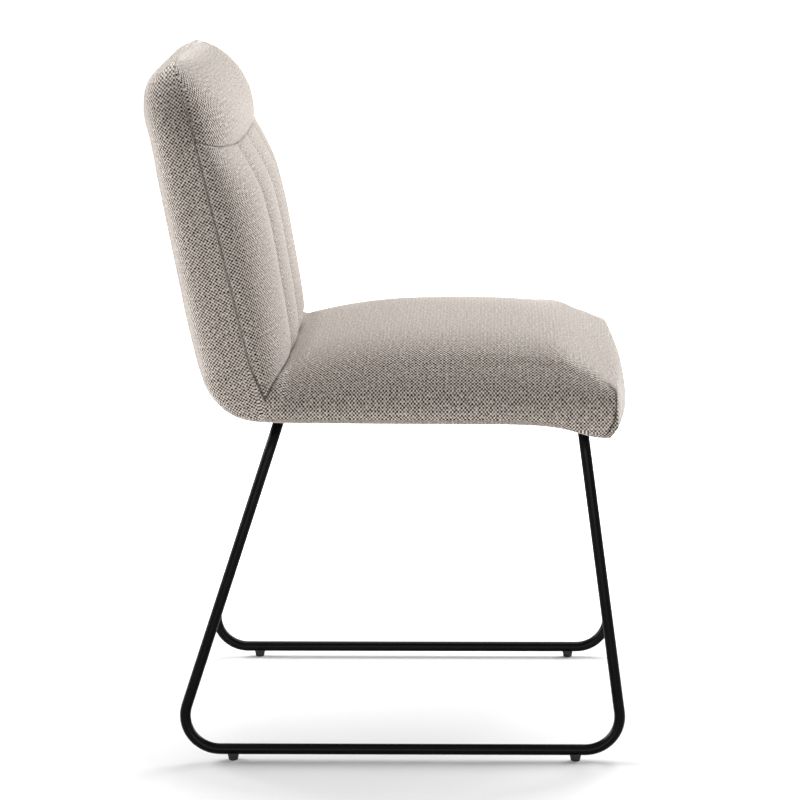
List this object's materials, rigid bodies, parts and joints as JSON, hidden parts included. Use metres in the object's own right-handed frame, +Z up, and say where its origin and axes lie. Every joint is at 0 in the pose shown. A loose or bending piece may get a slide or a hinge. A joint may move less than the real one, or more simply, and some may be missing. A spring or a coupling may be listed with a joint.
{
  "type": "upholstered sled-base dining chair",
  "caption": "Padded dining chair in greige chunky weave, with a channelled back, a head bolster and a rolled seat front, on two black powder-coated sled loops of round bar.",
  "frame": {"origin": "on the floor, in the middle of the chair's bounding box seen from above", "axes": "Z up; the chair faces -Y; X runs across the chair, positive to the sitter's left"},
  "size_m": [0.4704, 0.5535, 0.8046],
  "materials": {
    "greige_weave": "chunky basket weave of pale and mid greige yarn",
    "black_powder_coat": "satin black powder coat",
    "black_plastic": "matte black",
    "zinc_steel": "zinc plated",
    "black_cloth": "thin non-woven dust cover",
    "plywood": "raw plywood",
    "grey_primer": "grey primer",
    "webbing": "elastic upholstery webbing"
  },
  "bodies": {
    "root": {"right_sled": "black_powder_coat", "left_sled": "black_powder_coat", "front_crossbar": "black_powder_coat", "rear_crossbar": "black_powder_coat", "front_tabs": "black_powder_coat", "rear_tabs": "black_powder_coat", "right_front_glide": "black_plastic", "left_front_glide": "black_plastic", "right_rear_glide": "black_plastic", "left_rear_glide": "black_plastic", "seat_bolts": "zinc_steel", "bolt_washers": "zinc_steel", "t_nuts": "zinc_steel", "dust_cover": "black_cloth", "cover_staples": "zinc_steel", "seat_board": "plywood", "seat_cushion": "greige_weave", "back_hoop": "grey_primer", "hoop_rail": "grey_primer", "tube_saddles": "zinc_steel", "saddle_screws": "zinc_steel", "webbing_1": "webbing", "webbing_2": "webbing", "webbing_3": "webbing", "webbing_4": "webbing", "back_shell": "greige_weave", "inner_back": "greige_weave", "head_bolster": "greige_weave"}
  },
  "joints": []
}
